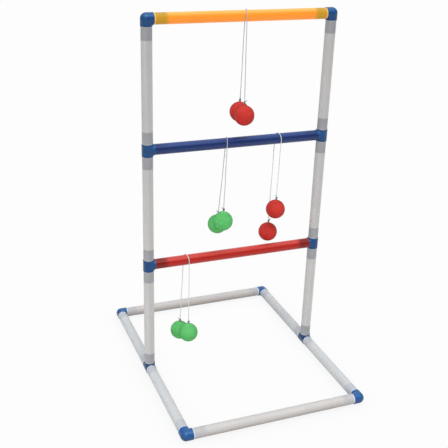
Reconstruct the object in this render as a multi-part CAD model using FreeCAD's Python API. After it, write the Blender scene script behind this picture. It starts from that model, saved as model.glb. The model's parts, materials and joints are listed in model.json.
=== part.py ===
import FreeCAD, Part
import math
import os

from FreeCAD import Matrix, Placement, Rotation, Vector

# Ladder toss frame: push-fit tubes and moulded connectors, with four two-ball
# bolas hanging on the rungs.  Millimetres, +Z up, +X along the rungs, -Y towards
# the thrower.  The origin is on the ground, in the middle of the footprint,
# straight below the middles of the three rungs.

# ------------------------------------------------------------------- tubes
TUBE_R = 12.5
TUBE_BORE_R = 11.3
TUBE_END_GAP = 0.1        # between a tube's cut end and the connector shoulder
TUBE_LEAD_IN = 0.4        # chamfer on the inner edge of each tube end
SHORT_LEN = 259.0         # shoulder to shoulder: uprights and side tubes
LONG_LEN = 410.0          # shoulder to shoulder: rungs and cross tubes

# -------------------------------------------------------------- connectors
BODY_R = 13.5
ARM_LEN = 15.0            # elbow arms and tee branches, centre to shoulder
RUN_HALF = 14.5           # half the straight run of a tee
ELBOW_FILLET = 1.2        # in the crease between the arms
TEE_FILLET = 0.9          # where the branch meets the run
FILLET_STEPS = (1, 0.7, 0.45)   # shares of the fillet radius to try in turn
RIM_CHAMFER = 0.35
FOOT_FLAT = 0.5           # depth of the flat under each base connector
CUTTER_SIZE = 2000        # ground block that cuts the flats
CUTTER_DEPTH = 50

SPIGOT_R = 11.2
SPIGOT_LEN = 30.0
SPIGOT_EMBED = 1.0        # rooted inside the body
ROOT_R = 10.3             # relief groove behind the shoulder
ROOT_LEN = 2.6
ROOT_TAPER = 0.6          # cone from the groove up to full radius
TIP_R = 10.1
TIP_LEN = 2.0
BORE_R = 9.0              # the connectors are hollow
BORE_OVERRUN = 1

# ------------------------------------------------------------------- balls
BALL_R = 23.4
BALL_BORE_R = 1.7
BORE_MARGIN = 6           # drill's overrun past each side of the ball
BORE_FLARE = 0.5          # countersink at the boss's top, width and depth
BOSS_H = 2.2              # raised boss round the cord's hole, on top of the ball
BOSS_TOP_R = 2.7
BOSS_ROOT_R = 4.3
BOSS_EMBED = 0.2
POCKET_R = 4.2            # pocket for the stopper knot under the ball
POCKET_DEPTH = 7.0
POCKET_OVERRUN = 4

# ------------------------------------------------------------------- cords
CORD_R = 1.0
CORD_GAP = 0.15           # between the cord and its rung, or its neighbour
PIVOT_GAP = 1.2           # between a cord bend and the strand below it
KNOT_R = 2.3
KNOT_H = 6.6
KNOT_LIFT = 0.3           # knot's lower end above the boss
TAIL_R = 0.85
TAIL_DEPTH = 2.6          # tail's root below the knot's upper end
TAIL_REACH = 6.5 * 0.62   # tail's drop, and its reach beyond the knot
STOPPER_R = 2.7
STOPPER_LEN = 2 * STOPPER_R - 0.4
STOPPER_GAP = 0.5         # between the stopper knot and the pocket's floor

HANG_R = TUBE_R + CORD_R + CORD_GAP                # cord centreline round a rung
CORD_PITCH = 2 * CORD_R + CORD_GAP                 # two cords side by side

# Degrees round the rung, from the front, over the top
SADDLE_ARC = (62.0, 118.0)
FRONT_HOOK_ARC = (0.0, 60.0)
REAR_HOOK_ARC = (180 - FRONT_HOOK_ARC[1], 180 - FRONT_HOOK_ARC[0])

# ------------------------------------------------------------------ layout
HALF_WIDTH = LONG_LEN / 2 + ARM_LEN                # upright axes
HALF_DEPTH = SHORT_LEN + RUN_HALF + ARM_LEN        # front and rear cross tubes
BASE_Z = BODY_R - FOOT_FLAT                        # axis height of the base
LOW_Z = BASE_Z + ARM_LEN + SHORT_LEN + RUN_HALF    # bottom rung
MID_Z = LOW_Z + RUN_HALF + SHORT_LEN + RUN_HALF    # middle rung
TOP_Z = MID_Z + RUN_HALF + SHORT_LEN + ARM_LEN     # top rung

# Side name, x of its uprights, and the sign of x pointing inwards
SIDES = (("left", -HALF_WIDTH, 1), ("right", HALF_WIDTH, -1))

# Each bola: rung height, x of its middle lane, lane step of the front cord
# (the rear cord takes the opposite lane), the centres of its two balls, and
# the directions of the knot tails in degrees from +X.
BOLAS = {
    "top_red_bola": {
        "z": TOP_Z, "x": 7.65, "lane": -3.4,
        "front": (2.9, -23.6, 659.4), "rear": (10.6, 23.6, 655.4),
        "front_tail": 0.0, "rear_tail": 90.0,
    },
    "middle_green_bola": {
        "z": MID_Z, "x": -28.65, "lane": -3.7,
        "front": (-39.7, -20.3, 401.7), "rear": (-38.4, 20.3, 377.3),
        "front_tail": 200.0, "rear_tail": 180.0,
    },
    "middle_red_bola": {
        "z": MID_Z, "x": 103.45, "lane": 2.15,
        "front": (100.9, -HANG_R, 413.0), "rear": (96.4, HANG_R, 341.7),
        "front_tail": 100.0, "rear_tail": 30.0,
    },
    "bottom_green_bola": {
        "z": LOW_Z, "x": -124.7, "lane": 3.0,
        "front": (-124.8, -22.2, 109.3), "rear": (-132.7, 22.2, 92.9),
        "front_tail": 80.0, "rear_tail": 180.0,
    },
}

X, Y, Z = Vector(1, 0, 0), Vector(0, 1, 0), Vector(0, 0, 1)
ORIGIN = Vector(0, 0, 0)
TOL = 1e-3                # for finding edges by their centres


# ----------------------------------------------------------------- helpers
def rod(radius, start, end):
    """Round bar between two points."""
    span = end - start
    length = span.Length
    return Part.makeCylinder(radius, length, start, span.normalize())


def revolve(profile, base, axis):
    """Solid of revolution from (radius, distance along axis) points."""
    points = [Vector(radius, 0, along) for radius, along in profile]
    wire = Part.makePolygon(points + [points[0]])
    solid = Part.Face(wire).revolve(ORIGIN, Z, 360)
    return solid.transformed(Placement(base, Rotation(Z, axis)).toMatrix())


def moved(shape, axes, centre):
    """Take a shape drawn on local x, y, z to the given world axes and centre."""
    to_x, to_y, to_z = axes
    return shape.transformed(Matrix(
        to_x.x, to_y.x, to_z.x, centre[0],
        to_x.y, to_y.y, to_z.y, centre[1],
        to_x.z, to_y.z, to_z.z, centre[2],
        0, 0, 0, 1,
    ))


def soften(shape, edges, radius):
    """Fillet the edges, or leave them sharp if that can't be built."""
    if not edges:
        return shape
    for share in FILLET_STEPS:
        # Guards against a radius that the kernel can't build
        try:
            filleted = shape.makeFillet(radius * share, edges)
            if filleted.isValid() and filleted.Volume > 0:
                return filleted
        except Exception:
            continue
    return shape


def curve(edge):
    """An edge's curve, or None where the fillet left one with no named type."""
    try:
        return edge.Curve
    except TypeError:
        return None


def is_rim(edge, run_len):
    """Whether an edge is a body's outer circle at a shoulder on +x or +-z."""
    shape = curve(edge)
    if not isinstance(shape, Part.Circle) or abs(shape.Radius - BODY_R) >= 1e-6:
        return False
    centre = edge.CenterOfMass
    return abs(centre.x - ARM_LEN) < TOL or abs(abs(centre.z) - run_len) < TOL


def break_rims(body, run_len):
    """Chamfer the shoulder rims, or leave them sharp if that can't be built."""
    rims = [edge for edge in body.Edges if is_rim(edge, run_len)]
    # Guards against a chamfer that the kernel can't build beside the fillet
    try:
        chamfered = body.makeChamfer(RIM_CHAMFER, rims)
        if chamfered.isValid() and chamfered.Volume > 0:
            return chamfered
    except Exception:
        pass
    return body


# -------------------------------------------------------------- connectors
def spigot(direction, shoulder):
    """Spigot with a relief groove at its root and a tapered tip, starting at
    the shoulder's distance from the connector's centre."""
    profile = [
        (0, -SPIGOT_EMBED),
        (ROOT_R, -SPIGOT_EMBED),
        (ROOT_R, ROOT_LEN - ROOT_TAPER),
        (SPIGOT_R, ROOT_LEN),
        (SPIGOT_R, SPIGOT_LEN - TIP_LEN),
        (TIP_R, SPIGOT_LEN),
        (0, SPIGOT_LEN),
    ]
    return revolve(profile, direction * shoulder, direction)


def elbow_body():
    """Corner with arms on +x and +z and a domed outside."""
    body = rod(BODY_R, ORIGIN, X * ARM_LEN).fuse(
        [rod(BODY_R, ORIGIN, Z * ARM_LEN), Part.makeSphere(BODY_R)])
    body = body.removeSplitter()
    crease = [edge for edge in body.Edges
              if edge.Length > 1
              and abs(edge.CenterOfMass.x - edge.CenterOfMass.z) < TOL
              and edge.CenterOfMass.x > 1.0]
    return break_rims(soften(body, crease, ELBOW_FILLET), ARM_LEN)


def elbow(axes, centre):
    """Elbow whose arms leave along the world directions axes[0] and axes[2]."""
    solid = elbow_body().fuse([spigot(X, ARM_LEN), spigot(Z, ARM_LEN)])
    reach = ARM_LEN + SPIGOT_LEN + BORE_OVERRUN
    hollow = rod(BORE_R, ORIGIN, X * reach).fuse(
        [rod(BORE_R, ORIGIN, Z * reach), Part.makeSphere(BORE_R)])
    return moved(solid.cut(hollow).removeSplitter(), axes, centre)


def tee_body():
    """Straight run on z with a branch on +x."""
    run = rod(BODY_R, Z * -RUN_HALF, Z * RUN_HALF)
    branch = rod(BODY_R, ORIGIN, X * ARM_LEN)
    body = run.fuse(branch).removeSplitter()
    crease = [edge for edge in body.Edges
              if not isinstance(curve(edge), (Part.Circle, Part.Line))
              and edge.BoundBox.XMax < ARM_LEN - 0.5]
    return break_rims(soften(body, crease, TEE_FILLET), RUN_HALF)


def tee(axes, centre):
    """Tee whose branch leaves along axes[0] and whose run lies along axes[2]."""
    solid = tee_body().fuse(
        [spigot(X, ARM_LEN), spigot(Z, RUN_HALF), spigot(Z * -1, RUN_HALF)])
    reach = SPIGOT_LEN + BORE_OVERRUN
    hollow = rod(BORE_R, Z * -(RUN_HALF + reach), Z * (RUN_HALF + reach)).fuse(
        rod(BORE_R, ORIGIN, X * (ARM_LEN + reach)))
    return moved(solid.cut(hollow).removeSplitter(), axes, centre)


def with_foot(shape):
    """Cut the flat that a base connector stands on."""
    corner = Vector(-CUTTER_SIZE / 2, -CUTTER_SIZE / 2, -CUTTER_DEPTH)
    return shape.cut(Part.makeBox(CUTTER_SIZE, CUTTER_SIZE, CUTTER_DEPTH, corner))


def connectors():
    """The six elbows and six tees."""
    parts = {}
    for side, x, inward in SIDES:
        across = X * inward
        parts[f"top_{side}_elbow"] = elbow((across, Y, Z * -1), (x, 0, TOP_Z))
        for level, z in (("middle", MID_Z), ("lower", LOW_Z)):
            parts[f"{level}_{side}_tee"] = tee((across, Y * inward, Z), (x, 0, z))
        parts[f"{side}_base_tee"] = with_foot(tee((Z, X, Y), (x, 0, BASE_Z)))
        for end, y, along in (("front", -HALF_DEPTH, Y), ("rear", HALF_DEPTH, Y * -1)):
            parts[f"{end}_{side}_corner"] = with_foot(
                elbow((across, Z, along), (x, y, BASE_Z)))
    return parts


# ------------------------------------------------------------------- tubes
def tube(start, end):
    """Tube between two shoulders, with its ends just clear of them."""
    start, end = Vector(*start), Vector(*end)
    axis = (end - start).normalize()
    start = start + axis * TUBE_END_GAP
    end = end - axis * TUBE_END_GAP
    length = (end - start).Length
    mouth_r = TUBE_BORE_R + TUBE_LEAD_IN
    profile = [
        (mouth_r, 0), (TUBE_R, 0), (TUBE_R, length), (mouth_r, length),
        (TUBE_BORE_R, length - TUBE_LEAD_IN), (TUBE_BORE_R, TUBE_LEAD_IN),
    ]
    return revolve(profile, start, axis)


def tubes():
    """The six uprights, four side tubes, three rungs and two cross tubes."""
    parts = {}
    uprights = (                                   # level, lower and upper shoulder
        ("lower", BASE_Z + ARM_LEN, LOW_Z - RUN_HALF),
        ("middle", LOW_Z + RUN_HALF, MID_Z - RUN_HALF),
        ("upper", MID_Z + RUN_HALF, TOP_Z - ARM_LEN),
    )
    side_tubes = (                                 # end, y of its two shoulders
        ("front", -HALF_DEPTH + ARM_LEN, -RUN_HALF),
        ("rear", RUN_HALF, HALF_DEPTH - ARM_LEN),
    )
    for side, x, _ in SIDES:
        for level, bottom, top in uprights:
            parts[f"{level}_{side}_upright"] = tube((x, 0, bottom), (x, 0, top))
        for end, near, far in side_tubes:
            parts[f"{end}_{side}_side_tube"] = tube((x, near, BASE_Z), (x, far, BASE_Z))
    long_tubes = (                                 # name, y, z
        ("top_rung", 0, TOP_Z),
        ("middle_rung", 0, MID_Z),
        ("bottom_rung", 0, LOW_Z),
        ("front_cross_tube", -HALF_DEPTH, BASE_Z),
        ("rear_cross_tube", HALF_DEPTH, BASE_Z),
    )
    for name, y, z in long_tubes:
        parts[name] = tube((-LONG_LEN / 2, y, z), (LONG_LEN / 2, y, z))
    return parts


# ------------------------------------------------------------------- bolas
def cord_arc(x, z, angles, slant=0.0):
    """Cord round the rung at height z, between two angles from the front,
    turned about the vertical by slant degrees."""
    first, last = (math.radians(angle) for angle in angles)
    path = [Vector(0, -HANG_R * math.cos(angle), HANG_R * math.sin(angle))
            for angle in (first, (first + last) / 2, last)]
    spine = Part.Wire([Part.Arc(*path).toShape()])
    tangent = Vector(0, math.sin(first), math.cos(first))
    ring = Part.Wire([Part.makeCircle(CORD_R, path[0], tangent)])
    return spine.makePipeShell([ring], True, True).transformed(
        Placement(Vector(x, 0, z), Rotation(Z, slant)).toMatrix())


def saddle_slant(lane):
    """Turn that brings a saddle's ends beside the bends in lanes +-lane."""
    reach = HANG_R * math.cos(math.radians(SADDLE_ARC[0]))
    turn = math.degrees(math.asin((abs(lane) - CORD_PITCH) / reach))
    return math.copysign(turn, lane)


def strand_line(pivot, centre):
    """Unit vector down a strand, and the strand's length to the ball's centre."""
    span = centre - pivot
    length = span.Length
    return span.normalize(), length


def strand(pivot, centre, tail_angle):
    """Straight cord from just below its bend, through the ball, with a knot
    above the ball and a stopper knot in the pocket under it."""
    down, length = strand_line(pivot, centre)
    knot_end = length - BALL_R - BOSS_H - KNOT_LIFT
    knot_start = knot_end - KNOT_H
    stop_start = length + BALL_R - POCKET_DEPTH + STOPPER_GAP
    stop_end = stop_start + STOPPER_LEN
    profile = [
        (0, PIVOT_GAP),
        (CORD_R, PIVOT_GAP),
        # knot, with a slight waist
        (CORD_R, knot_start),
        (KNOT_R * 0.86, knot_start + 1.0),
        (KNOT_R, knot_start + 2.4),
        (KNOT_R * 0.9, (knot_start + knot_end) / 2),
        (KNOT_R, knot_end - 2.2),
        (KNOT_R * 0.8, knot_end - 0.8),
        (CORD_R, knot_end),
        # stopper knot
        (CORD_R, stop_start),
        (STOPPER_R * 0.8, stop_start + 0.6),
        (STOPPER_R, (stop_start + stop_end) / 2),
        (STOPPER_R * 0.8, stop_end - 0.6),
        (CORD_R, stop_end),
        (0, stop_end),
    ]
    body = revolve(profile, pivot, down)
    angle = math.radians(tail_angle)
    outward = Vector(math.cos(angle), math.sin(angle), 0)
    root = pivot + down * (knot_start + TAIL_DEPTH)
    tip = root + outward * (KNOT_R + TAIL_REACH) - down * TAIL_REACH
    # The tip lies up the strand from the root, so the tail slopes upwards
    return body.fuse(rod(TAIL_R, root, tip)).removeSplitter()


def ball(pivot, centre):
    """Ball drilled along the strand, with a boss round the hole on top and the
    stopper knot's pocket below."""
    down, _ = strand_line(pivot, centre)
    up = down * -1
    boss_root = math.sqrt(BALL_R ** 2 - BOSS_ROOT_R ** 2) - BOSS_EMBED
    boss_top = BALL_R + BOSS_H
    boss = Part.makeCone(
        BOSS_ROOT_R, BOSS_TOP_R, boss_top - boss_root, centre - down * boss_root, up)
    bore = Part.makeCylinder(
        BALL_BORE_R, 2 * (BALL_R + BORE_MARGIN), centre - down * (BALL_R + BORE_MARGIN), down)
    pocket = Part.makeCylinder(
        POCKET_R, POCKET_DEPTH + POCKET_OVERRUN,
        centre + down * (BALL_R - POCKET_DEPTH), down)
    flare = Part.makeCone(
        BALL_BORE_R, BALL_BORE_R + BORE_FLARE, BORE_FLARE,
        centre - down * (boss_top - BORE_FLARE), up)
    solid = Part.makeSphere(BALL_R, centre).fuse(boss)
    return solid.cut(bore).cut(pocket).cut(flare).removeSplitter()


def bola(name, spec):
    """One bola: a saddle over the rung, then a hook, strand and ball each side."""
    x, z, lane = spec["x"], spec["z"], spec["lane"]
    parts = {f"{name}_cord_saddle": cord_arc(x, z, SADDLE_ARC, saddle_slant(lane))}
    halves = (                                     # end, x, y of the bend, hook angles
        ("front", x + lane, -HANG_R, FRONT_HOOK_ARC),
        ("rear", x - lane, HANG_R, REAR_HOOK_ARC),
    )
    for end, lane_x, y, hook_arc in halves:
        pivot = Vector(lane_x, y, z)
        centre = Vector(*spec[end])
        parts[f"{name}_cord_{end}_hook"] = cord_arc(lane_x, z, hook_arc)
        parts[f"{name}_cord_{end}_strand"] = strand(pivot, centre, spec[f"{end}_tail"])
        parts[f"{name}_{end}_ball"] = ball(pivot, centre)
    return parts


# ------------------------------------------------------------------- build
def build():
    parts = {**connectors(), **tubes()}
    for name, spec in BOLAS.items():
        parts.update(bola(name, spec))
    return parts


os.makedirs("parts", exist_ok=True)
for node, shape in build().items():
    # A boolean can wrap its one solid in a compound, so unwrap it
    solids = shape.Solids
    (solids[0] if len(solids) == 1 else shape).exportStep(f"parts/{node}.step")
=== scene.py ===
# Ladder toss frame with four bolas hung over its rungs, dressed around the CAD pieces.
# Metres. +X runs along the rungs, -Y points to the thrower, +Z is up, and the
# origin is on the ground.

import json
import math

import bpy
import numpy as np
from mathutils import Euler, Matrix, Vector

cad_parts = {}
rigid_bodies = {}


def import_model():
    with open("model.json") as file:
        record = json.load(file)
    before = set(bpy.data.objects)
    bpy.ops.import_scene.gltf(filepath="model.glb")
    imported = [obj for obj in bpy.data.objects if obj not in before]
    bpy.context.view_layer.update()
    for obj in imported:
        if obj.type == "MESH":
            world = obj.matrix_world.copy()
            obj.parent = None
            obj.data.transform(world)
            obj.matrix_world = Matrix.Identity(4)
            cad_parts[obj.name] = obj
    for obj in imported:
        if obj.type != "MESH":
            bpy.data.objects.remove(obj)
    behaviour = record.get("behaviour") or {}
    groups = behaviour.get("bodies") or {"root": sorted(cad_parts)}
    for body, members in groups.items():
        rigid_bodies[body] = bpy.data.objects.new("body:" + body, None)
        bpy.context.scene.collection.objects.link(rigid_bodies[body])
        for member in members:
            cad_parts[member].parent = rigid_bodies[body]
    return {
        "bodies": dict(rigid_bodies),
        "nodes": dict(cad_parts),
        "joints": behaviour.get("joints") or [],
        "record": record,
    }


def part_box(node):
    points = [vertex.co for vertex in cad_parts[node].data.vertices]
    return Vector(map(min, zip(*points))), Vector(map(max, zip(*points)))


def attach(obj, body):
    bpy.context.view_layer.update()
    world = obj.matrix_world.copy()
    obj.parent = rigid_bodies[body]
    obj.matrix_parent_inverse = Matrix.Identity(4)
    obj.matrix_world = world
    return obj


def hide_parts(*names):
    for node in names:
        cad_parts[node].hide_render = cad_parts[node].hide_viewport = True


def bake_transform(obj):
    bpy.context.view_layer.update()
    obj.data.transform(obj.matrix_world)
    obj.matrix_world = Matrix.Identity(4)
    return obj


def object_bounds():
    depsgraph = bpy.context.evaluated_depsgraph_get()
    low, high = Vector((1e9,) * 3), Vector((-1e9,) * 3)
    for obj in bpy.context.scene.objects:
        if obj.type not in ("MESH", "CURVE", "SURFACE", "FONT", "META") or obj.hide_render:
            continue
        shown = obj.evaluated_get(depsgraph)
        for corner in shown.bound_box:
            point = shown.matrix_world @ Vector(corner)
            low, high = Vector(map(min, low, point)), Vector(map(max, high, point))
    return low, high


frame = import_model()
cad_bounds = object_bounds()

MM = 0.001
joints = {joint["name"]: joint for joint in frame["joints"]}
body_of = {node: body
           for body, members in frame["record"]["behaviour"]["bodies"].items()
           for node in members}
scene = bpy.context.scene


# ---------------------------------------------------------------- node graphs
NOISE_SPAN = (0.3, 0.7)     # where most values of a noise lie
WHITE = (1, 1, 1, 1)


def rgb(*levels):
    """Screen colour, 0 to 255, as linear RGBA."""
    shares = [level / 255.0 for level in levels]
    return (*(s / 12.92 if s <= 0.04045 else ((s + 0.055) / 1.055) ** 2.4 for s in shares), 1.0)


class Net:
    """The shader nodes of a material or world, with short calls for those used here."""

    def __init__(self, owner, output="ShaderNodeOutputMaterial"):
        self.owner = owner
        owner.use_nodes = True
        self.tree = owner.node_tree
        self.tree.nodes.clear()
        self.out = self.new(output)

    def new(self, kind, **props):
        node = self.tree.nodes.new(kind)
        for name, value in props.items():
            setattr(node, name, value)
        return node

    def put(self, socket, value):
        """Link a socket, or set a plain value."""
        if isinstance(value, bpy.types.NodeSocket):
            self.tree.links.new(value, socket)
        else:
            socket.default_value = value

    def fill(self, node, *values):
        for socket, value in zip(node.inputs, values):
            self.put(socket, value)
        return node

    def math(self, operation, *values):
        return self.fill(self.new("ShaderNodeMath", operation=operation), *values).outputs[0]

    def scale(self, value, by, plus=None):
        if plus is None:
            return self.math("MULTIPLY", value, by)
        return self.math("MULTIPLY_ADD", value, by, plus)

    def vector(self, operation, first, second, output="Vector"):
        node = self.new("ShaderNodeVectorMath", operation=operation)
        return self.fill(node, first, second).outputs[output]

    def ramp(self, value, over, to=(0.0, 1.0), smooth=True):
        """Carry value from the range over to the range to, clamped."""
        kind = "SMOOTHSTEP" if smooth else "LINEAR"
        node = self.new("ShaderNodeMapRange", interpolation_type=kind, clamp=True)
        return self.fill(node, value, *over, *to).outputs[0]

    def mix(self, factor, first, second):
        node = self.new("ShaderNodeMix", data_type="RGBA")
        node.clamp_factor = True
        self.put(node.inputs[0], factor)
        self.put(node.inputs[6], first)
        self.put(node.inputs[7], second)
        return node.outputs[2]

    def tint(self, colour, mask, towards, strength):
        return self.mix(self.scale(mask, by=strength), colour, towards)

    def brighten(self, colour, by):
        node = self.new("ShaderNodeHueSaturation")
        self.put(node.inputs["Color"], colour)
        self.put(node.inputs["Value"], by)
        return node.outputs["Color"]

    def coords(self, body=None):
        """Position in the row frame at rest, or in a body's frame as it moves."""
        node = self.new("ShaderNodeTexCoord")
        if body is not None:
            node.object = frame["bodies"][body]
        return node.outputs["Object"]

    def geometry(self, output="Normal"):
        return self.new("ShaderNodeNewGeometry").outputs[output]

    def split(self, vector):
        return self.fill(self.new("ShaderNodeSeparateXYZ"), vector).outputs

    def noise(self, at, scale, detail=2.0, rough=0.5, distortion=0.0, shift=None):
        """Noise texture; shift moves it to another part of the pattern."""
        if shift is not None:
            at = self.vector("ADD", at, shift)
        node = self.new("ShaderNodeTexNoise")
        self.put(node.inputs["Vector"], at)
        node.inputs["Scale"].default_value = scale
        node.inputs["Detail"].default_value = detail
        node.inputs["Roughness"].default_value = rough
        node.inputs["Distortion"].default_value = distortion
        return node.outputs["Fac"]

    def facing(self):
        """0 where a surface is seen square on, 1 where it is seen edge-on."""
        node = self.new("ShaderNodeLayerWeight")
        node.inputs["Blend"].default_value = 0.5
        return node.outputs["Facing"]

    def occlusion(self, distance, samples=8):
        node = self.new("ShaderNodeAmbientOcclusion", samples=samples)
        node.inputs["Distance"].default_value = distance
        return node.outputs["AO"]

    def bump(self, height, distance, strength, normal=None):
        node = self.new("ShaderNodeBump")
        node.inputs["Strength"].default_value = strength
        node.inputs["Distance"].default_value = distance
        self.put(node.inputs["Height"], height)
        if normal is not None:
            self.put(node.inputs["Normal"], normal)
        return node.outputs["Normal"]

    def rounded(self, radius):
        """Normal that rounds the edges off."""
        node = self.new("ShaderNodeBevel", samples=4)
        node.inputs["Radius"].default_value = radius
        return node.outputs["Normal"]

    def mix_shaders(self, factor, first, second):
        return self.fill(self.new("ShaderNodeMixShader"), factor, first, second).outputs[0]

    def surface(self, shader):
        self.put(self.out.inputs["Surface"], shader)

    def principled(self, colour, rough, normal=None, **extra):
        node = self.new("ShaderNodeBsdfPrincipled")
        self.put(node.inputs["Base Color"], colour)
        self.put(node.inputs["Roughness"], rough)
        if normal is not None:
            self.put(node.inputs["Normal"], normal)
        for name, value in extra.items():
            self.put(node.inputs[name.replace("_", " ")], value)
        self.surface(node.outputs["BSDF"])
        return node.outputs["BSDF"]


def material_net(name):
    return Net(bpy.data.materials.new(name))


# ---------------------------------------------------------------------- tubes
ZONE_LEN = 29.0 * MM        # length of spigot inside a tube's end
RIM_LEN = 2.6 * MM          # bright rim at the cut end
RING_PITCH = 2.9 * MM       # faint rings along the spigot band


def tube_look(turn=(-0.75, 0.15), left=0.0, right=0.0, tint=WHITE, **look):
    return dict(look, turn=turn, left=left, right=right, tint=tint)


# The six kinds of tube.
#    base, warm, top  colour of the upper side; painted light and shade on the underside; painted
#    light on the crown
#    turn                    upward normal over which the underside's painted light gives way to base
#    zone, zone_tint         strength and colour of the band over a spigot
#    zone_soft, root         blur of its inner end in mm; its strength at the tube's end
#    rim, rim_mix, rim_band  rim colour, its strength, share of the band kept under it
#    edge, left, right  painted light and shade seen edge-on; painted light towards -X and +X
#   rough, streak, relief   roughness; tone and bump strength of the lines
#   spec, tint              level and colour of the highlights
TUBES = {
    "upright": tube_look(
        base=rgb(174, 173, 172), warm=rgb(172, 169, 167), top=rgb(174, 173, 172),
        zone=0.76, zone_tint=rgb(122, 125, 130), zone_soft=1.6, root=0.84,
        rim=rgb(154, 160, 170), rim_mix=0.25, rim_band=0.55, edge=1.02, left=0.13, right=0.22,
        rough=0.46, streak=0.04, relief=0.22, spec=0.20),
    "side": tube_look(
        base=rgb(191, 194, 195), warm=rgb(174, 172, 170), top=rgb(194, 197, 199),
        zone=0.45, zone_tint=rgb(160, 166, 178), zone_soft=4.0, root=1.1,
        rim=rgb(202, 214, 232), rim_mix=0.75, rim_band=0.0, edge=1.03, left=0.02, right=0.02,
        rough=0.52, streak=0.024, relief=0.10, spec=0.14),
    "cross": tube_look(
        base=rgb(188, 185, 183), warm=rgb(160, 153, 147), top=rgb(194, 192, 190),
        turn=(-0.80, 0.90),
        zone=0.50, zone_tint=rgb(160, 162, 171), zone_soft=6.0, root=0.9,
        rim=rgb(202, 214, 230), rim_mix=0.75, rim_band=0.0, edge=1.06,
        rough=0.50, streak=0.028, relief=0.10, spec=0.14),
    "orange": tube_look(
        base=rgb(244, 142, 42), warm=rgb(252, 150, 56), top=rgb(244, 178, 86),
        zone=0.88, zone_tint=rgb(164, 139, 30), zone_soft=8.0, root=0.78,
        rim=rgb(222, 200, 124), rim_mix=0.75, rim_band=0.2, edge=0.98,
        rough=0.40, streak=0.022, relief=0.25, spec=0.26, tint=(1.0, 0.88, 0.66, 1)),
    "navy": tube_look(
        base=rgb(19, 39, 92), warm=rgb(36, 50, 96), top=rgb(40, 64, 124),
        zone=0.45, zone_tint=rgb(11, 32, 80), zone_soft=6.0, root=0.9,
        rim=rgb(26, 66, 112), rim_mix=0.4, rim_band=0.5, edge=0.72,
        rough=0.33, streak=0.05, relief=0.30, spec=0.46, tint=(0.62, 0.76, 1.0, 1)),
    "red": tube_look(
        base=rgb(164, 26, 18), warm=rgb(172, 46, 40), top=rgb(194, 66, 60),
        zone=0.82, zone_tint=rgb(92, 13, 12), zone_soft=8.0, root=0.95,
        rim=rgb(112, 26, 44), rim_mix=0.4, rim_band=0.6, edge=0.78,
        rough=0.33, streak=0.035, relief=0.30, spec=0.42, tint=(1.0, 0.66, 0.62, 1)),
}


def spigot_band(net, look, depth):
    """Mask of the darker band over one spigot, by depth from the tube's end."""
    soft = look["zone_soft"] * MM
    inside = net.ramp(depth, over=(RIM_LEN - 0.3 * MM, RIM_LEN + 0.3 * MM),
                      to=(look["rim_band"], 1.0))
    past = net.ramp(depth, over=(ZONE_LEN - soft, ZONE_LEN + soft), to=(1.0, 0.0))
    band = net.math("MULTIPLY", inside, past)
    taper = net.ramp(depth, over=(0.0, ZONE_LEN), to=(look["root"], 1.0), smooth=False)
    band = net.math("MULTIPLY", band, taper)
    rings = net.math("SINE", net.scale(depth, by=2 * math.pi / RING_PITCH))
    return net.math("MULTIPLY", band, net.scale(rings, by=0.035, plus=0.965))


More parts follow.
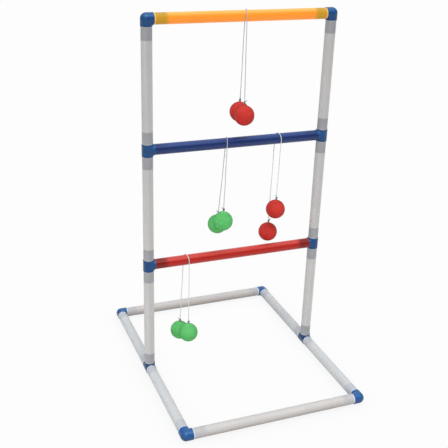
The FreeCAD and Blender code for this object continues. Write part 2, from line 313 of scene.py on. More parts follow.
def tube_material(node, kind, low_body, high_body):
    """Thin translucent tube with faint lines along it, a cut rim, and bands over
    the spigots, which follow the bodies that carry them."""
    look = TUBES[kind]
    net = material_net("tube_" + node)
    low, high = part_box(node)
    span = high - low
    axis = max(range(3), key=lambda i: span[i])
    start, stop = low[axis], high[axis]
    own = net.coords()
    along = net.split(own)[axis]
    normal_x, _, normal_z = net.split(net.geometry())

    bands = []
    for body, end, sign in ((low_body, start, 1.0), (high_body, stop, -1.0)):
        place = net.split(net.coords(body))[axis]
        depth = net.scale(net.math("SUBTRACT", place, end), by=sign)
        bands.append(spigot_band(net, look, depth))
    bands = net.math("MAXIMUM", *bands)
    rim = net.math("MAXIMUM", *(
        net.ramp(net.math("SUBTRACT", *ends), over=(RIM_LEN - 0.4 * MM, RIM_LEN + 0.1 * MM),
                 to=(1.0, 0.0))
        for ends in ((along, start), (stop, along))))

    # lines drawn out along the tube, and slow cloudiness
    stretch = [1.0, 1.0, 1.0]
    stretch[axis] = 0.012
    drawn = net.vector("MULTIPLY", own, stretch)
    lines = net.noise(drawn, scale=900.0, detail=3.0, rough=0.6)
    broad = net.noise(drawn, scale=260.0, detail=1.0)
    cloud = net.noise(own, scale=26.0, detail=3.0, rough=0.55)
    streak = look["streak"]
    tone = net.math("ADD", net.ramp(lines, over=NOISE_SPAN, to=(-streak, streak)),
                    net.ramp(broad, over=NOISE_SPAN, to=(-streak * 0.6, streak * 0.6)))
    tone = net.math("ADD", tone, net.ramp(cloud, over=NOISE_SPAN, to=(-0.02, 0.02)))

    # painted light and shade: underside and crown colours set by the upward normal
    colour = net.mix(net.ramp(normal_z, over=look["turn"]), look["warm"], look["base"])
    colour = net.mix(net.ramp(normal_z, over=(0.35, 0.95)), colour, look["top"])
    colour = net.tint(colour, bands, look["zone_tint"], strength=look["zone"])
    colour = net.tint(colour, rim, look["rim"], strength=look["rim_mix"])
    value = net.math("ADD", tone, 1.0)
    # painted light and shade: brightness seen edge-on and towards -X and +X, set by the normal
    shades = [net.ramp(net.facing(), over=(0.62, 0.97), to=(1.0, look["edge"])),
              net.ramp(normal_x, over=(-0.95, 0.25), to=(1.0 + look["left"], 1.0)),
              net.ramp(normal_x, over=(0.05, 0.85), to=(1.0, 1.0 + look["right"]))]
    if kind == "upright":
        # painted light and shade: the lower lengths lighter, where the floor throws light back,
        # and the upper lengths darker
        shades.append(net.ramp(net.split(own)[2], over=(0.10, 0.80), to=(1.08, 0.91),
                               smooth=False))
    for shade in shades:
        value = net.math("MULTIPLY", value, shade)
    colour = net.brighten(colour, by=value)

    # dull handling scuffs in a few places
    scuff = net.noise(own, scale=70.0, detail=4.0, rough=0.7, distortion=0.6,
                      shift=(3.1, 1.7, 0.4))
    scuff = net.ramp(scuff, over=(0.62, 0.74))
    fine = net.noise(net.vector("MULTIPLY", own, (1.0, 1.0, 1.0)), scale=2400.0, rough=0.6)
    rough = net.math("ADD", net.scale(scuff, by=0.10, plus=look["rough"]),
                     net.ramp(lines, over=NOISE_SPAN, to=(-0.04, 0.05)))
    height = net.math("ADD", net.scale(lines, by=0.6), net.scale(fine, by=0.25))
    height = net.math("ADD", height, net.scale(scuff, by=-0.15))
    normal = net.bump(height, distance=0.05 * MM, strength=look["relief"])
    net.principled(colour, rough, normal, IOR=1.49, Specular_IOR_Level=look["spec"],
                   Specular_Tint=look["tint"])
    return net.owner


# ----------------------------------------------------------------- connectors
PARTING_INSET = 13.5 * MM   # parting line, in from the high side of the thinnest axis

# painted light: (shaded colour facing down, lit colour facing up)
UPPER_SHADED_LIT_BLUES = (rgb(4, 49, 96), rgb(27, 84, 142))
BASE_SHADED_LIT_BLUES = (rgb(16, 60, 108), rgb(36, 90, 150))
TEE_SHADED_LIT_BLUES = (rgb(12, 44, 84), rgb(30, 72, 124))

# crevice_shade is painted shade; the other tints are the plastic's own tones
CONNECTOR_TINTS = dict(swirl=rgb(34, 82, 138), blotch=rgb(12, 38, 80), worn=rgb(92, 136, 184),
                       parting=rgb(60, 104, 160), crevice_shade=rgb(8, 22, 44))


def connector_material(node, shaded_lit_blues):
    """Moulded blue connector: fine grain, a parting line, lighter worn edges and
    a slightly cloudy colour, with painted light on the up-facing faces and painted shade
    edge-on and in the crevices."""
    low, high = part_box(node)
    span = high - low
    axis = min(range(3), key=lambda i: span[i])
    tints = CONNECTOR_TINTS
    net = material_net("connector_" + node)
    own = net.coords()
    offset = net.math("SUBTRACT", net.split(own)[axis], high[axis] - PARTING_INSET)
    parting = net.ramp(net.math("ABSOLUTE", offset), over=(0.10 * MM, 0.26 * MM), to=(1.0, 0.0))
    grain = net.noise(own, scale=2600.0, detail=3.0, rough=0.6)
    swirl = net.noise(own, scale=90.0, detail=4.0, rough=0.6, distortion=1.2)
    blotch = net.noise(own, scale=32.0, shift=(0.31, 0.17, 0.05))

    # wear shows where the rounded normal leaves the true one
    soft = net.rounded(0.55 * MM)
    true_normal = net.geometry()
    match = net.vector("DOT_PRODUCT", soft, true_normal, output="Value")
    worn = net.ramp(match, over=(0.80, 0.995), to=(1.0, 0.0))

    # painted light: the blue goes from the shaded to the lit copy as the faces turn up
    colour = net.mix(net.ramp(net.split(true_normal)[2], over=(-0.2, 0.95)), *shaded_lit_blues)
    colour = net.mix(net.ramp(swirl, over=(0.35, 0.7), to=(0.0, 0.22)), colour, tints["swirl"])
    colour = net.mix(net.ramp(blotch, over=(0.35, 0.65), to=(0.0, 0.12)), colour,
                     tints["blotch"])
    colour = net.tint(colour, worn, tints["worn"], strength=0.42)
    colour = net.tint(colour, parting, tints["parting"], strength=0.16)
    # painted shade where the surface is seen edge-on, and a little painted light face on
    colour = net.brighten(colour, by=net.ramp(net.facing(), over=(0.38, 0.88), to=(1.06, 0.42)))
    # painted shade in the crevices by the shoulders, from ambient occlusion
    crevice_shade = net.ramp(net.occlusion(3.5 * MM), over=(0.35, 0.90), to=(0.85, 0.0))
    colour = net.mix(crevice_shade, colour, tints["crevice_shade"])

    scuff = net.noise(own, scale=120.0, detail=5.0, rough=0.7, distortion=0.8,
                      shift=(1.3, 0.2, 2.2))
    scuff = net.ramp(scuff, over=(0.60, 0.74))
    rough = net.math("ADD", net.scale(scuff, by=0.14, plus=0.25),
                     net.ramp(grain, over=NOISE_SPAN, to=(-0.04, 0.06)))
    height = net.math("ADD", net.scale(grain, by=0.35), net.scale(parting, by=0.9))
    height = net.math("SUBTRACT", height, net.scale(scuff, by=0.2))
    normal = net.bump(height, distance=0.05 * MM, strength=0.4, normal=soft)
    net.principled(colour, rough, normal, IOR=1.5, Specular_IOR_Level=0.46,
                   Specular_Tint=(0.62, 0.82, 1.0, 1))
    return net.owner


# ---------------------------------------------------- ball and cord materials
def ball_material(name, core, light, rim, dimple_shade_and_mottle):
    """Satin moulded ball, with painted light on the top (light) over core below, painted
    shade in the dimples, and rim as painted shade where the skin is seen edge-on."""
    net = material_net(name)
    own = net.coords()
    # painted light: core on the underside, light on the top
    up = net.ramp(net.split(net.geometry())[2], over=(-0.6, 0.9))
    mottle = net.noise(own, scale=230.0, detail=3.0, rough=0.6, distortion=0.4)
    broad = net.noise(own, scale=48.0, shift=(0.7, 0.1, 0.3))
    fine = net.noise(own, scale=3200.0, rough=0.6)
    dimple_shade_mask = net.new("ShaderNodeAttribute", attribute_name="dimple_shade_mask").outputs["Fac"]
    colour = net.mix(up, core, light)
    colour = net.mix(net.ramp(mottle, over=(0.36, 0.68), to=(0.0, 0.42)), colour, light)
    colour = net.mix(net.ramp(broad, over=(0.38, 0.66), to=(0.0, 0.26)), colour, dimple_shade_and_mottle)
    # painted shade in the dimples
    colour = net.tint(colour, dimple_shade_mask, dimple_shade_and_mottle, strength=0.84)
    # painted shade: rim where the skin is seen edge-on
    colour = net.mix(net.ramp(net.facing(), over=(0.50, 0.82), to=(0.0, 0.85)), colour, rim)
    rough = net.math("ADD", net.ramp(mottle, over=NOISE_SPAN, to=(0.40, 0.54)),
                     net.scale(fine, by=0.05))
    normal = net.bump(fine, distance=0.04 * MM, strength=0.5)
    net.principled(colour, rough, normal, IOR=1.48, Specular_IOR_Level=0.08)
    return net.owner


def cord_material(name, light, gap_and_edge_shade, shade):
    """Braided cord: pale yarn with a few soiled lengths, painted shade in the gaps and edge-on.
    """
    net = material_net(name)
    own = net.coords()
    yarn = net.noise(net.vector("MULTIPLY", own, (1.0, 1.0, 0.35)), scale=3800.0, rough=0.6)
    soil = net.noise(own, scale=55.0, detail=3.0, rough=0.6)
    gaps = net.occlusion(0.9 * MM, samples=6)
    colour = net.mix(net.ramp(yarn, over=NOISE_SPAN, to=(0.0, 0.5)), light, shade)
    colour = net.mix(net.ramp(soil, over=(0.45, 0.75), to=(0.0, 0.35)), colour, shade)
    # painted shade in the gaps between the strands, from ambient occlusion
    colour = net.mix(net.ramp(gaps, over=(0.35, 0.95), to=(0.9, 0.0)), colour, gap_and_edge_shade)
    # painted shade where the cord is seen edge-on
    colour = net.mix(net.ramp(net.facing(), over=(0.55, 0.95), to=(0.0, 0.45)), colour, gap_and_edge_shade)
    normal = net.bump(net.scale(yarn, by=1.0), distance=0.05 * MM, strength=0.7)
    net.principled(colour, 0.62, normal, Specular_IOR_Level=0.3, Sheen_Weight=0.25,
                   Sheen_Roughness=0.5)
    return net.owner


# ------------------------------------------------------------- the CAD pieces
# body that carries the spigot in the low end of each level's uprights
SPIGOT_BODY = {"lower": "base_tees", "middle": "lower_section", "upper": "middle_section"}
RUNG_KINDS = {"top": "orange", "middle": "navy", "bottom": "red"}


def cad_material(node):
    """Material for a tube or connector, or None for any other node."""
    home = body_of[node]
    level = node.split("_")[0]
    if node.endswith("_upright"):
        return tube_material(node, "upright", SPIGOT_BODY[level], home)
    if node.endswith("_side_tube"):
        ends = (home, "base_tees") if level == "front" else ("base_tees", home)
        return tube_material(node, "side", *ends)
    if node.endswith("_cross_tube"):
        return tube_material(node, "cross", home, home)
    if node.endswith("_rung"):
        return tube_material(node, RUNG_KINDS[level], home, home)
    if node.endswith("base_tee"):
        return connector_material(node, TEE_SHADED_LIT_BLUES)
    if node.endswith("_corner"):
        return connector_material(node, BASE_SHADED_LIT_BLUES)
    if node.endswith(("_elbow", "_tee")):
        return connector_material(node, UPPER_SHADED_LIT_BLUES)
    return None


for node, obj in frame["nodes"].items():
    material = cad_material(node)
    if material is not None:
        obj.data.materials.clear()
        obj.data.materials.append(material)


# -------------------------------------------------------------- mesh builders
def mesh_object(name, verts, faces, material):
    mesh = bpy.data.meshes.new(name)
    mesh.from_pydata([tuple(vert) for vert in verts], [], faces)
    mesh.validate()
    mesh.update()
    mesh.polygons.foreach_set("use_smooth", [True] * len(mesh.polygons))
    mesh.materials.append(material)
    obj = bpy.data.objects.new(name, mesh)
    scene.collection.objects.link(obj)
    return obj


def unit(vector):
    vector = np.asarray(vector, float)
    return vector / np.linalg.norm(vector)


def perpendicular(along, hint):
    """Unit vector perpendicular to along, nearest to hint."""
    hint = np.asarray(hint, float)
    return unit(hint - along * float(hint @ along))


def cross_axes(along):
    """Two unit vectors across a hanging cord: near +X and near -Y."""
    side_x = perpendicular(along, (1.0, 0.0, 0.0))
    return side_x, np.cross(along, side_x)


def run_along(points):
    """Distance along a path at each of its points."""
    return np.concatenate([[0], np.cumsum(np.linalg.norm(np.diff(points, axis=0), axis=1))])


def resample(points, step):
    points = np.asarray(points, float)
    run = run_along(points)
    count = max(3, int(round(run[-1] / step)) + 1)
    stations = np.linspace(0, run[-1], count)
    return np.stack([np.interp(stations, run, points[:, i]) for i in range(3)], axis=1)


def hermite(start, start_pull, end, end_pull, count):
    t = np.linspace(0, 1, count)[:, None]
    return ((2 * t ** 3 - 3 * t ** 2 + 1) * start + (t ** 3 - 2 * t ** 2 + t) * start_pull
            + (-2 * t ** 3 + 3 * t ** 2) * end + (t ** 3 - t ** 2) * end_pull)


def ring_quads(first, second, sides):
    """Quads between two rings of vertices, given by their first indices."""
    return [(first + i, first + j, second + j, second + i)
            for i in range(sides) for j in [(i + 1) % sides]]


BRAID_TURN = 1.4 / MM       # turn of the braid's carriers, radians per metre
TIP_RINGS = ((0.86, 0.35), (0.55, 0.68))    # (size, reach) of a tip's rings, in radii
TIP_REACH = 0.82


def sweep(path, first_normal, radius, sides=20, run_start=0.0, braid=0.13,
          round_ends=(True, True), end_swell=0.0):
    """Cord along a path, with the relief of a braid. Each end is a rounded tip or
    a flat cap, and end_swell thickens the last end."""
    path = np.asarray(path, float)
    count = len(path)
    tangent = np.gradient(path, axis=0)
    tangent /= np.linalg.norm(tangent, axis=1)[:, None]
    run = run_start + run_along(path)
    normals = np.zeros_like(path)
    normals[0] = perpendicular(tangent[0], first_normal)
    for i in range(1, count):
        carried = normals[i - 1] - tangent[i] * float(normals[i - 1] @ tangent[i])
        normals[i] = carried / np.linalg.norm(carried)
    binormals = np.cross(tangent, normals)
    angles = np.linspace(0, 2 * np.pi, sides, endpoint=False)
    weave = np.maximum(np.abs(np.cos(2 * angles[None, :] + BRAID_TURN * run[:, None])),
                       np.abs(np.cos(2 * angles[None, :] - BRAID_TURN * run[:, None])))
    radii = radius * (1 - braid + braid * (weave - 0.7) / 0.3)
    share = np.linspace(0, 1, count)
    radii = radii * (1 + end_swell * np.exp(-((share - 1.0) / 0.03) ** 2))[:, None]
    rings = (path[:, None, :]
             + radii[:, :, None] * (np.cos(angles)[None, :, None] * normals[:, None, :]
                                    + np.sin(angles)[None, :, None] * binormals[:, None, :]))
    verts = list(rings.reshape(-1, 3))
    faces = []
    for i in range(count - 1):
        faces += ring_quads(i * sides, (i + 1) * sides, sides)

    for last in (False, True):
        i = count - 1 if last else 0
        outward = tangent[i] if last else -tangent[i]
        ring = i * sides
        tip = path[i]
        if round_ends[last]:
            for size, reach in TIP_RINGS:
                inner = len(verts)
                verts.extend(path[i] + (rings[i] - path[i]) * size + outward * radius * reach)
                quads = ring_quads(ring, inner, sides)
                faces += quads if last else [quad[::-1] for quad in quads]
                ring = inner
            tip = path[i] + outward * radius * TIP_REACH
        centre = len(verts)
        verts.append(tip)
        for j in range(sides):
            here, after = ring + j, ring + (j + 1) % sides
            faces.append((here, after, centre) if last else (after, here, centre))
    return verts, faces


# ---------------------------------------------------------------------- balls
BALL_BORE = 1.7 * MM        # radii of the bore, the pocket and its mouth
POCKET_R = 4.2 * MM
POCKET_MOUTH_R = 4.75 * MM
POCKET_DEPTH = 7.0 * MM
BOSS_FOOT_R = 6.2 * MM
SKIN_STEP = 0.42 * MM
BALL_SEGMENTS = 256
DIMPLES = 336
DIMPLE_R = 2.1 * MM
DIMPLE_DEPTH = 0.38 * MM
BOSS_CLEAR_R = 8.3 * MM     # no dimple is centred nearer the axis than these
POCKET_CLEAR_R = 6.9 * MM
SEAM_WIDTH = 0.30 * MM
SEAM_HEIGHT = 0.07 * MM

# (radius, depth below the boss's top), mm: bore mouth, flat top and outer lip
BOSS_TOP = (
    (1.70, 0.90), (1.73, 0.45), (1.86, 0.16), (2.08, 0.02),
    (2.30, 0.00), (2.52, 0.10), (2.68, 0.30), (2.76, 0.55),
)
# (radius, height above the pocket's mouth), mm
POCKET_LIP = ((4.52, 0.00), (4.33, 0.10), (4.23, 0.30), (4.20, 0.60))
# (radius, depth below the pocket's inner end), mm
POCKET_END = ((4.08, 0.28), (3.75, 0.04), (3.20, 0.00), (2.40, 0.00), (1.90, 0.00), (1.70, -0.25))


def ball_outline(radius, boss):
    """Closed outline of (radius, distance down the axis), and the slice of it
    that is dimpled skin."""
    top = -(radius + boss)
    outline = [(out * MM, top + depth * MM) for out, depth in BOSS_TOP]
    # flank of the boss, running out into the sphere
    lip_r, lip_depth = (value * MM for value in BOSS_TOP[-1])
    for out in np.linspace(2.84 * MM, BOSS_FOOT_R, 14):
        share = (out - lip_r) / (BOSS_FOOT_R - lip_r)
        sphere = math.sqrt(radius * radius - out * out)
        rise = (boss - lip_depth + (radius - sphere)) * max(0.0, 1 - share) ** 2.6
        outline.append((out, -sphere - rise))
    first = math.asin(BOSS_FOOT_R / radius)
    last = math.pi - math.asin(POCKET_MOUTH_R / radius)
    steps = int((last - first) * radius / SKIN_STEP)
    skin = slice(len(outline), len(outline) + steps)
    for i in range(1, steps + 1):
        angle = first + (last - first) * i / steps
        outline.append((radius * math.sin(angle), -radius * math.cos(angle)))
    mouth = math.sqrt(radius * radius - POCKET_MOUTH_R ** 2)
    inner = radius - POCKET_DEPTH
    outline += [(out * MM, mouth - height * MM) for out, height in POCKET_LIP]
    outline += [(POCKET_R, down)
                for down in np.linspace(mouth - 1.4 * MM, inner + 0.8 * MM, 5)]
    outline += [(out * MM, inner + depth * MM) for out, depth in POCKET_END]
    outline += [(BALL_BORE, down)
                for down in np.linspace(inner - 2.5 * MM, top + 2.4 * MM, 9)]
    return np.array(outline), skin


def dimple_centres(radius, turn):
    """Points spread evenly on the ball, kept off the boss and the pocket."""
    index = np.arange(DIMPLES) + 0.5
    polar = np.arccos(1 - 2 * index / DIMPLES)
    azimuth = math.pi * (1 + 5 ** 0.5) * index + turn
    points = np.stack([np.cos(azimuth) * np.sin(polar), np.sin(azimuth) * np.sin(polar),
                       -np.cos(polar)], axis=1) * radius
    out = np.hypot(points[:, 0], points[:, 1])
    on_boss = (points[:, 2] < 0) & (out < BOSS_CLEAR_R)
    on_pocket = (points[:, 2] > 0) & (out < POCKET_CLEAR_R)
    return points[~(on_boss | on_pocket)]


def ball_piece(name, centre, along, radius, boss, material, turn):
    outline, skin = ball_outline(radius, boss)
    count, sides = len(outline), BALL_SEGMENTS
    side_x, side_y = cross_axes(along)
    angles = np.linspace(0, 2 * np.pi, sides, endpoint=False)
    local = np.stack([outline[:, :1] * np.cos(angles), outline[:, :1] * np.sin(angles),
                      np.repeat(outline[:, 1:], sides, axis=1)], axis=2)
    points = local[skin].reshape(-1, 3)
    centres = dimple_centres(radius, turn)
    nearest = np.empty(len(points))
    for i in range(0, len(points), 4096):
        gaps = points[i:i + 4096, None, :] - centres[None]
        nearest[i:i + 4096] = np.linalg.norm(gaps, axis=2).min(axis=1)
    dimple = np.clip(1 - (nearest / DIMPLE_R) ** 2, 0, 1) ** 1.35
    # a hair-thin raised seam round the widest line
    seam = np.exp(-(points[:, 2] / SEAM_WIDTH) ** 2) * SEAM_HEIGHT
    points = points * (1 + (seam - dimple * DIMPLE_DEPTH)[:, None] / radius)
    local[skin] = points.reshape(-1, sides, 3)
    world = (centre[None, None] + local[..., 0:1] * side_x + local[..., 1:2] * side_y
             + local[..., 2:3] * along)
    faces = []
    for i in range(count):
        ring, after = i * sides, ((i + 1) % count) * sides
        for j in range(sides):
            k = (j + 1) % sides
            faces.append((ring + j, after + j, after + k, ring + k))
    obj = mesh_object(name, world.reshape(-1, 3), faces, material)
    # depth into a dimple, read by the ball material as the mask of its painted shade
    dimple_shade_mask = np.zeros((count, sides))
    dimple_shade_mask[skin] = dimple.reshape(-1, sides)
    obj.data.attributes.new("dimple_shade_mask", "FLOAT", "POINT").data.foreach_set("value", dimple_shade_mask.ravel())
    return obj


# ---------------------------------------------------------------------- bolas
CORD_R = 1.0 * MM
CORD_STEP = 0.30 * MM
KNOT_STEP = 0.26 * MM
KNOT_BRAID = 0.14
KNOT_H = 6.6 * MM
KNOT_LIFT = 0.3 * MM
TAIL_OUT = 4.0 * MM
BEND_RUN = 16.0 * MM        # length in which the hanging cord turns towards its ball
CROWN_OVERLAP = math.radians(1.5)   # the two halves overlap on the rung's crown

# ball colours: light and core are painted light on top and below, rim is painted shade edge-on
BALL_MATS = {
    "red": ball_material("ball_red", core=rgb(192, 47, 41), light=rgb(205, 63, 55),
                         rim=rgb(118, 20, 20), dimple_shade_and_mottle=rgb(142, 20, 16)),
    "green": ball_material("ball_green", core=rgb(94, 187, 104), light=rgb(101, 191, 112),
                           rim=rgb(66, 140, 76), dimple_shade_and_mottle=rgb(54, 146, 68)),
}
FRESH = cord_material("cord_braid_fresh", light=rgb(205, 212, 212), gap_and_edge_shade=rgb(146, 154, 157),
                      shade=rgb(186, 193, 194))
WORN = cord_material("cord_braid_worn", light=rgb(177, 188, 188), gap_and_edge_shade=rgb(100, 110, 114),
                     shade=rgb(150, 160, 162))
# the knot's cord is painted darker all over, as painted shade of its dense winds
SHADED_KNOT_CORD = cord_material("cord_knot_shaded", light=rgb(114, 130, 136), gap_and_edge_shade=rgb(42, 52, 58),
                     shade=rgb(82, 96, 102))

# key, cord, phase that varies waviness, knots and dimples, and the way the front
# and rear knots' tails point, in degrees from +X towards +Y
BOLAS = (
    ("top_red", WORN, 0.3, (0.0, 90.0)),
    ("middle_green", WORN, 1.7, (200.0, 180.0)),
    ("middle_red", FRESH, 2.9, (100.0, 30.0)),
    ("bottom_green", FRESH, 4.1, (80.0, 180.0)),
)
REAR_PHASE = 0.9


def wound(start, along, height, radii, turns, end_angle, side_x, side_y):
    """Path wound up the cord from start, its radius going between the two radii;
    it begins close to the axis."""
    share = np.linspace(0, 1, int(60 * turns))
    angle = end_angle - 2 * np.pi * turns * (1 - share)
    out = radii[0] + (radii[1] - radii[0]) * share
    out = out * np.clip(0.35 + 0.65 * share * 6, 0, 1)
    return (start[None] - along[None] * (share * height)[:, None]
            + out[:, None] * (np.cos(angle)[:, None] * side_x + np.sin(angle)[:, None] * side_y))


def knot_piece(name, ball_top, along, tail_degrees, phase):
    """Knot wound on the cord, its cut tail leaving up and outwards."""
    foot = ball_top - along * (KNOT_LIFT + 0.9 * MM)
    side_x, side_y = cross_axes(along)
    side_y = -side_y
    tail_angle = math.radians(tail_degrees)
    side = math.cos(tail_angle) * side_x + math.sin(tail_angle) * side_y
    height = KNOT_H - 1.9 * MM
    end_angle = tail_angle - math.pi / 2
    coil = wound(foot, along, height, (1.55 * MM, 1.25 * MM), 3.0, end_angle, side_x, side_y)
    leave = coil[-1]
    tip = leave + side * (TAIL_OUT + 0.8 * MM) - along * (TAIL_OUT * 0.72)
    tail = hermite(leave, unit(leave - coil[-2]) * 5.0 * MM,
                   tip, (side * 0.65 - along * 0.85) * 4.5 * MM, 30)[1:]
    path = resample(np.concatenate([coil, tail]), KNOT_STEP)
    verts, faces = sweep(path, along, 0.92 * MM, sides=16, braid=KNOT_BRAID, end_swell=0.16)

    # a riding turn laid over the winds, from their foot to their head
    share = np.linspace(0, 1, 60)
    angle = end_angle + phase + 2.2 * share
    out = (1.55 + 0.95 * np.sin(np.pi * share) ** 0.7) * MM
    over = (foot[None] - along[None] * ((-0.05 + 1.08 * share) * height)[:, None]
            + out[:, None] * (np.cos(angle)[:, None] * side_x + np.sin(angle)[:, None] * side_y))
    over_verts, over_faces = sweep(resample(over, KNOT_STEP), along, 0.80 * MM, sides=14,
                                   braid=KNOT_BRAID)
    base = len(verts)
    verts += over_verts
    faces += [tuple(i + base for i in face) for face in over_faces]
    return mesh_object(name, verts, faces, SHADED_KNOT_CORD)


def stopper_piece(name, pocket_end, along):
    """Small knot in the pocket under the ball."""
    coil = wound(pocket_end + along * 4.6 * MM, along, 3.2 * MM, (1.65 * MM, 1.65 * MM), 2.0,
                 0.4, *cross_axes(along))
    verts, faces = sweep(resample(coil, KNOT_STEP), along, 0.95 * MM, sides=14,
                         braid=KNOT_BRAID)
    return mesh_object(name, verts, faces, SHADED_KNOT_CORD)


def bend_piece(key, end, sign, pivot, axis_x, cord):
    """Cord over the rung, from its crown to where it hangs free."""
    bola_name = key + "_bola"
    bend_r = abs(pivot[1])
    angle = np.linspace(np.pi / 2 + CROWN_OVERLAP, 0.0, 120)
    arc = np.stack([axis_x + (pivot[0] - axis_x) * np.cos(angle),
                    sign * bend_r * np.cos(angle), pivot[2] + bend_r * np.sin(angle)], axis=1)
    verts, faces = sweep(resample(arc, CORD_STEP), (0, 0, 1), CORD_R,
                         run_start=-bend_r * CROWN_OVERLAP, round_ends=(False, False))
    piece = mesh_object(f"{bola_name}_cord_{end}_bend", verts, faces, cord)
    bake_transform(piece)
    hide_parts(f"{bola_name}_cord_{end}_hook", bola_name + "_cord_saddle")


def length_piece(key, end, sign, pivot, along, full, taut, phase, cord):
    """Hanging cord, slightly wavy over its taut part, full long from the pivot."""
    bola_name = key + "_bola"
    straight_down = np.array([0.0, 0.0, -1.0])
    first = hermite(pivot, straight_down * BEND_RUN, pivot + along * BEND_RUN,
                    along * BEND_RUN, 60)
    rest = [pivot + along * run for run in np.linspace(BEND_RUN, full, 400)[1:]]
    path = resample(np.concatenate([first, rest]), CORD_STEP)
    run = (path - pivot) @ along
    swing = np.sin(np.pi * np.clip(run / taut, 0, 1))
    side_x, side_y = cross_axes(along)
    wave_x = 0.30 * MM * np.sin(2 * np.pi * run / (0.62 * taut) + phase)
    wave_y = 0.25 * MM * np.sin(2 * np.pi * run / (0.47 * taut) + 2.1 * phase + 1.0)
    path = path + (swing * wave_x)[:, None] * side_x + (swing * wave_y)[:, None] * side_y
    verts, faces = sweep(path, (0, sign, 0), CORD_R, run_start=abs(pivot[1]) * np.pi / 2,
                         round_ends=(False, True))
    piece = mesh_object(f"{bola_name}_cord_{end}_length", verts, faces, cord)
    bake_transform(piece)
    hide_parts(f"{bola_name}_cord_{end}_strand")


def half_bola(key, end, sign, cord, phase, tail_degrees):
    colour = key.split("_")[1]
    name = f"{key}_bola_{end}"
    drop = f"{key}_{end}_drop"
    front, rear = (np.array(joints[f"{key}_{side}_sway"]["pos_m"], float)
                   for side in ("front", "rear"))
    pivot = front if end == "front" else rear
    low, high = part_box(name + "_ball")
    radius = (high.x - low.x) / 2
    centre = np.array([(low.x + high.x) / 2, (low.y + high.y) / 2, low.z + radius])
    boss = max(0.0, (high.z - low.z) - 2 * radius)
    along = unit(centre - pivot)
    length = float(np.linalg.norm(centre - pivot))

    bend_piece(key, end, sign, pivot, (front[0] + rear[0]) / 2, cord)
    length_piece(key, end, sign, pivot, along, full=length + radius - 2.2 * MM,
                 taut=length - radius - boss - KNOT_H, phase=phase, cord=cord)
    top = centre - along * (radius + boss)
    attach(knot_piece(name + "_knot", top, along, tail_degrees, 1.0 + phase), drop)
    pocket_end = centre + along * (radius - POCKET_DEPTH)
    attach(stopper_piece(name + "_stopper_knot", pocket_end, along), drop)
    ball = ball_piece(name + "_ball_moulded", centre, along, radius, boss,
                      BALL_MATS[colour], phase)
    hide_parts(name + "_ball")
    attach(ball, drop)


for key, cord, phase, (front_tail, rear_tail) in BOLAS:
    half_bola(key, "front", -1.0, cord, phase, front_tail)
    half_bola(key, "rear", 1.0, cord, phase + REAR_PHASE, rear_tail)


# ---------------------------------------------------------------------- stage
FLOOR_SIZE = 40.0
FLOOR_CELLS = 8
SEEN_WHITE = 0.982          # level of the floor and backdrop as the camera sees them


def floor_material():
    net = material_net("studio_floor")
    cloud = net.noise(net.coords(), scale=1.4)
    tone = net.mix(net.ramp(cloud, over=NOISE_SPAN),
                   (0.90, 0.90, 0.90, 1.0), (0.915, 0.915, 0.915, 1.0))
    lit = net.principled(tone, 0.9, Specular_IOR_Level=0.0)
    # seen directly the floor is burnt out, but for a trace of contact shade
    contact = net.ramp(net.occlusion(60 * MM), over=(0.2, 1.0), smooth=False)
    seen = net.new("ShaderNodeEmission")
    net.put(seen.inputs[0], net.mix(contact, (0.90, 0.90, 0.91, 1.0), (*[SEEN_WHITE] * 3, 1.0)))
    camera_ray = net.new("ShaderNodeLightPath").outputs["Is Camera Ray"]
    both = net.mix_shaders(camera_ray, lit, seen.outputs[0])
    # a camera below the floor looks through it
    under = net.math("MULTIPLY", camera_ray, net.geometry("Backfacing"))
    net.surface(net.mix_shaders(under, both, net.new("ShaderNodeBsdfTransparent").outputs[0]))
    return net.owner


def build_floor():
    mesh = bpy.data.meshes.new("floor")
    row = FLOOR_CELLS + 1
    verts = [(FLOOR_SIZE * (i / FLOOR_CELLS - 0.5), FLOOR_SIZE * (j / FLOOR_CELLS - 0.5),
              cad_bounds[0].z)
             for j in range(row) for i in range(row)]
    faces = [(j * row + i, j * row + i + 1, (j + 1) * row + i + 1, (j + 1) * row + i)
             for j in range(FLOOR_CELLS) for i in range(FLOOR_CELLS)]
    mesh.from_pydata(verts, [], faces)
    floor = bpy.data.objects.new("studio_floor", mesh)
    scene.collection.objects.link(floor)
    mesh.materials.append(floor_material())


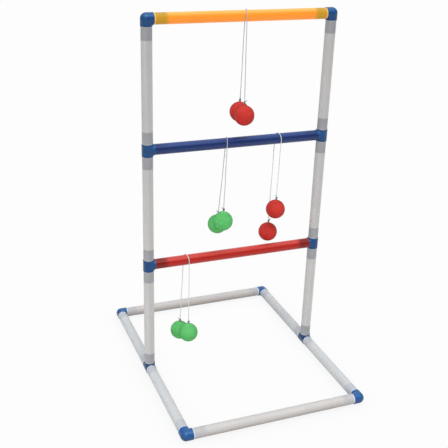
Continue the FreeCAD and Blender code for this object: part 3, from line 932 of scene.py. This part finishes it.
def build_world():
    """White backdrop for the camera, a soft dome for the shading, and a bright
    overhead with darker sides for the reflections."""
    world = bpy.data.worlds.new("studio")
    scene.world = world
    net = Net(world, "ShaderNodeOutputWorld")
    upward = net.scale(net.split(net.geometry("Incoming"))[2], by=-1.0)

    def background(colour, strength):
        return net.fill(net.new("ShaderNodeBackground"), colour, strength).outputs[0]

    def dome(stops, strength):
        """Light by the ray's upward part, from (upward, level) stops."""
        ramp = net.new("ShaderNodeValToRGB")
        ramp.color_ramp.interpolation = "EASE"
        elements = ramp.color_ramp.elements
        for i, (at, level) in enumerate(stops):
            stop = elements[i] if i < 2 else elements.new(at)
            stop.position = at
            stop.color = (level, level, level * 1.01, 1)
        net.put(ramp.inputs[0], upward)
        return background(ramp.outputs[0], strength)

    soft = dome(((0.0, 0.42), (0.55, 0.80), (1.0, 1.0)), strength=0.85)
    boxes = dome(((0.0, 0.16), (0.50, 0.22), (0.80, 1.0), (1.0, 1.0)), strength=1.25)
    seen = background(WHITE, strength=SEEN_WHITE)
    ray = net.new("ShaderNodeLightPath").outputs
    shading = net.mix_shaders(ray["Is Glossy Ray"], soft, boxes)
    net.surface(net.mix_shaders(ray["Is Camera Ray"], shading, seen))


def sun(name, azimuth, elevation, strength, angle):
    """Soft distant lamp, in degrees. Azimuth 0 shines from the front (-Y), and
    positive turns the lamp towards +X."""
    data = bpy.data.lights.new(name, "SUN")
    data.energy = strength
    data.angle = math.radians(angle)
    lamp = bpy.data.objects.new(name, data)
    scene.collection.objects.link(lamp)
    turn, lift = math.radians(azimuth), math.radians(elevation)
    toward = Vector((math.sin(turn) * math.cos(lift), -math.cos(turn) * math.cos(lift),
                     math.sin(lift)))
    lamp.rotation_mode = "QUATERNION"
    lamp.rotation_quaternion = toward.to_track_quat("Z", "Y")
    lamp.location = toward * 3.0


def build_camera():
    camera = bpy.data.cameras.new("camera")
    camera.sensor_fit = "HORIZONTAL"
    camera.sensor_width = 36.0
    camera.lens = 63.189939375
    camera.shift_x = 0.011569
    camera.shift_y = 0.021486
    camera.clip_start = 0.05
    camera.clip_end = 100.0
    view = bpy.data.objects.new("camera", camera)
    angles = (66.046216, -1.557438, -20.890242)
    view.rotation_euler = Euler([math.radians(angle) for angle in angles], "XYZ")
    view.location = (-0.687907, -1.634179, 1.140382)
    scene.collection.objects.link(view)
    scene.camera = view


build_floor()
build_world()
sun("overhead_key", azimuth=-12.0, elevation=64.0, strength=1.55, angle=42.0)
sun("front_fill", azimuth=-35.0, elevation=30.0, strength=0.45, angle=60.0)
sun("rear_fill", azimuth=160.0, elevation=6.0, strength=0.50, angle=50.0)
build_camera()
scene.view_settings.view_transform = "Standard"
scene.view_settings.look = "None"
